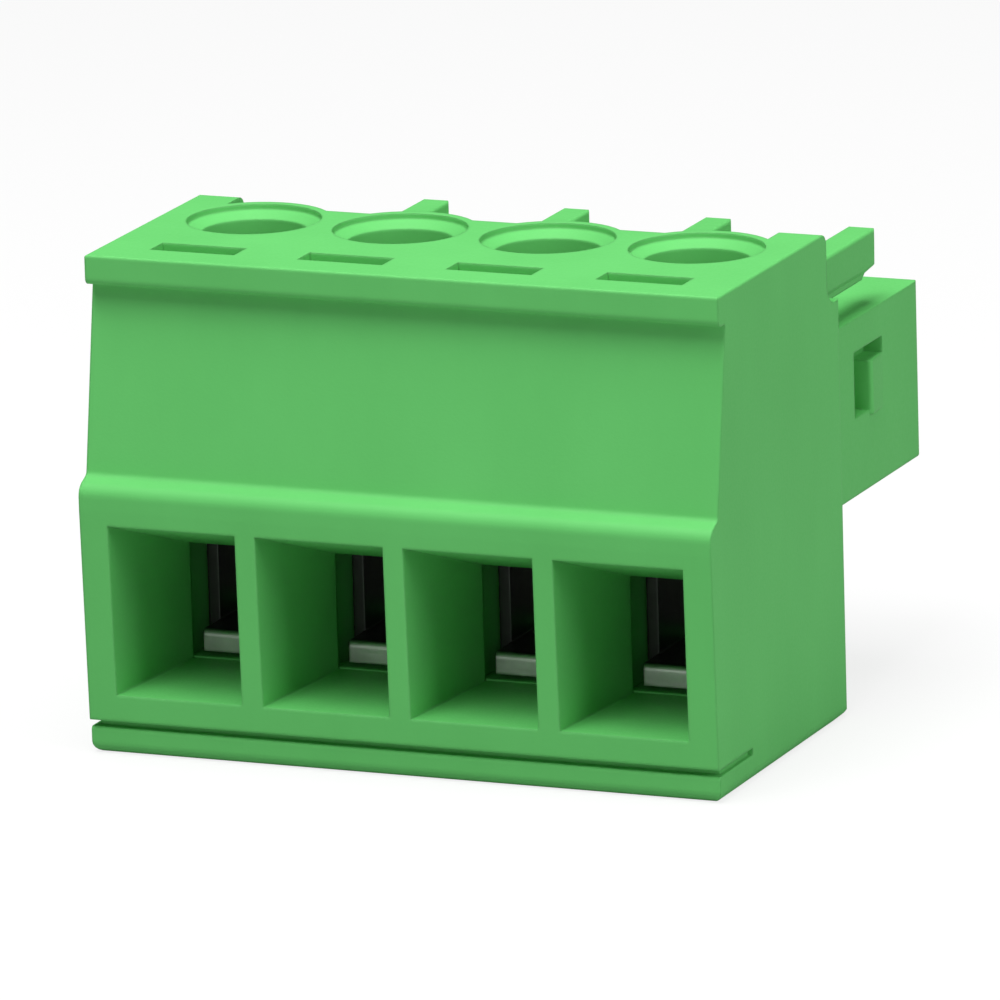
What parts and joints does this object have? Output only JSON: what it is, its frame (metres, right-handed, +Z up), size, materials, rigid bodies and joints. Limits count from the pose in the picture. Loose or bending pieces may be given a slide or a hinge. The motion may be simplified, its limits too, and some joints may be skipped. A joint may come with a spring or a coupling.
{
  "type": "pluggable terminal block",
  "caption": "Moulded plug-in wire connector: funnel entries along the front, clamping screws in wells on top, and a plug nose with coding fingers at the back.",
  "frame": {"origin": "middle of the underside's outline, halfway along and halfway from the entry face to the nose's face", "axes": "+Z up, +X along the row of poles, +Y from the wire entries to the plug nose"},
  "size_m": [0.0148, 0.0136, 0.0111],
  "materials": {
    "housing_plastic": "fine moulded satin",
    "cover_plastic": "fine moulded satin",
    "contact_metal": "tin plated",
    "cage_metal": "zinc plated",
    "screw_metal": "zinc plated"
  },
  "bodies": {
    "housing": {"housing": "housing_plastic", "base_cover": "cover_plastic", "contact_1": "contact_metal", "contact_2": "contact_metal", "contact_3": "contact_metal", "contact_4": "contact_metal"},
    "cage_1": {"cage_1": "cage_metal"},
    "screw_1": {"screw_1": "screw_metal"},
    "cage_2": {"cage_2": "cage_metal"},
    "screw_2": {"screw_2": "screw_metal"},
    "cage_3": {"cage_3": "cage_metal"},
    "screw_3": {"screw_3": "screw_metal"},
    "cage_4": {"cage_4": "cage_metal"},
    "screw_4": {"screw_4": "screw_metal"}
  },
  "joints": [
    {"name": "screw_1_turn", "type": "hinge", "parent": "housing", "child": "screw_1", "pos_m": [-0.00525, -0.00172, 0.0082], "axis": [0, 0, -1], "range_deg": [0, 1620]},
    {"name": "cage_1_lift", "type": "slide", "parent": "housing", "child": "cage_1", "axis": [0, 0, 1], "range_m": [0, 0.0018]},
    {"name": "screw_2_turn", "type": "hinge", "parent": "housing", "child": "screw_2", "pos_m": [-0.00175, -0.00172, 0.0082], "axis": [0, 0, -1], "range_deg": [0, 1620]},
    {"name": "cage_2_lift", "type": "slide", "parent": "housing", "child": "cage_2", "axis": [0, 0, 1], "range_m": [0, 0.0018]},
    {"name": "screw_3_turn", "type": "hinge", "parent": "housing", "child": "screw_3", "pos_m": [0.00175, -0.00172, 0.0082], "axis": [0, 0, -1], "range_deg": [0, 1620]},
    {"name": "cage_3_lift", "type": "slide", "parent": "housing", "child": "cage_3", "axis": [0, 0, 1], "range_m": [0, 0.0018]},
    {"name": "screw_4_turn", "type": "hinge", "parent": "housing", "child": "screw_4", "pos_m": [0.00525, -0.00172, 0.0082], "axis": [0, 0, -1], "range_deg": [0, 1620]},
    {"name": "cage_4_lift", "type": "slide", "parent": "housing", "child": "cage_4", "axis": [0, 0, 1], "range_m": [0, 0.0018]}
  ],
  "couplings": [
    {"joint": "screw_1_turn", "follows": "cage_1_lift", "rad_per_m": 15708},
    {"joint": "screw_2_turn", "follows": "cage_2_lift", "rad_per_m": 15708},
    {"joint": "screw_3_turn", "follows": "cage_3_lift", "rad_per_m": 15708},
    {"joint": "screw_4_turn", "follows": "cage_4_lift", "rad_per_m": 15708}
  ]
}
